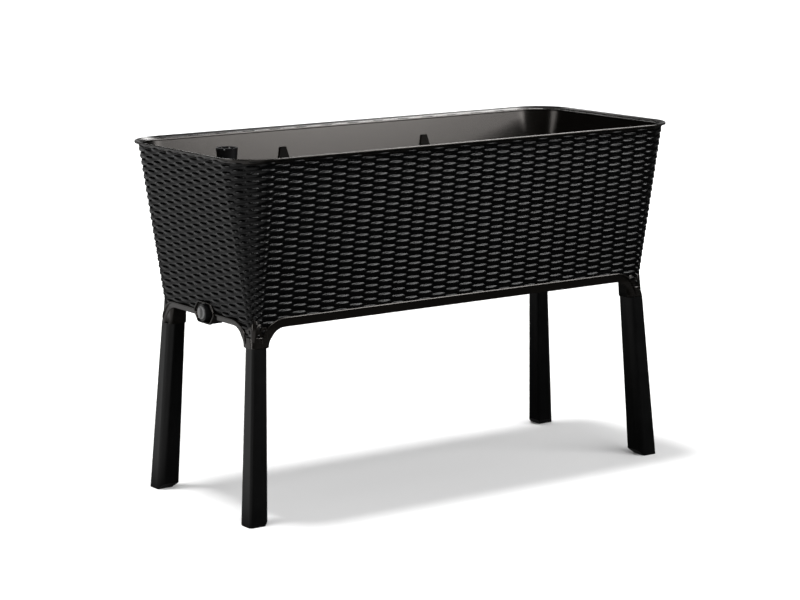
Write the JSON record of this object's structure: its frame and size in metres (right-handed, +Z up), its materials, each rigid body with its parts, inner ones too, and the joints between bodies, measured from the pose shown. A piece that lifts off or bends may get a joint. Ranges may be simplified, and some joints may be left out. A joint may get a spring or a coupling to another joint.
{
  "type": "raised planter",
  "caption": "Raised self-watering planter: a long tapered resin tub with a wicker relief on splayed legs, with a water gauge, a slotted false floor and a drain tap.",
  "frame": {"origin": "on the floor, under the middle of the tub", "axes": "+X along the length, away from the drain end; +Y from the front long side to the back; +Z up"},
  "size_m": [1.14, 0.494, 0.757],
  "materials": {
    "woven_resin": "satin moulded resin with a wicker relief",
    "leg_resin": "fine-textured matt moulded resin",
    "inner_resin": "smooth satin moulded resin",
    "gauge_black": "smooth black",
    "clear_window": "clear moulded plastic",
    "float_white": "plain white",
    "marker_red": "plain red",
    "drain_black": "satin black",
    "knob_grey": "satin grey",
    "seal_rubber": "matt"
  },
  "bodies": {
    "planter": {"basin": "woven_resin", "leg_front_left": "leg_resin", "leg_front_right": "leg_resin", "leg_rear_left": "leg_resin", "leg_rear_right": "leg_resin", "gauge_tube": "gauge_black", "gauge_clip": "gauge_black", "wall_braces_front": "inner_resin", "wall_braces_rear": "inner_resin", "drain_elbow": "drain_black", "drain_gasket": "seal_rubber", "drain_nut": "drain_black", "drain_strainer": "drain_black", "drain_valve": "drain_black", "knob_seal": "seal_rubber"},
    "knob": {"drain_knob": "knob_grey", "drain_spindle": "drain_black"},
    "cap": {"gauge_cap": "gauge_black", "gauge_window": "clear_window"},
    "float": {"gauge_float": "float_white", "float_rod": "float_white", "float_marker": "marker_red"},
    "left_grid": {"soil_grid_left": "inner_resin", "wick_basket_left": "inner_resin"},
    "middle_grid": {"soil_grid_middle": "inner_resin"},
    "right_grid": {"soil_grid_right": "inner_resin", "wick_basket_right": "inner_resin"}
  },
  "joints": [
    {"name": "drain_turn", "type": "hinge", "parent": "planter", "child": "knob", "pos_m": [-0.52, 0, 0.4135], "axis": [-1, 0, 0], "range_deg": [0, 90]},
    {"name": "cap_lift", "type": "slide", "parent": "planter", "child": "cap", "axis": [0, 0, 1], "range_m": [0, 0.06]},
    {"name": "float_rise", "type": "slide", "parent": "planter", "child": "float", "axis": [0, 0, 1], "range_m": [0, 0.038]},
    {"name": "left_grid_lift", "type": "slide", "parent": "planter", "child": "left_grid", "axis": [0, 0, 1], "range_m": [0, 0.12]},
    {"name": "middle_grid_lift", "type": "slide", "parent": "planter", "child": "middle_grid", "axis": [0, 0, 1], "range_m": [0, 0.12]},
    {"name": "right_grid_lift", "type": "slide", "parent": "planter", "child": "right_grid", "axis": [0, 0, 1], "range_m": [0, 0.12]}
  ]
}
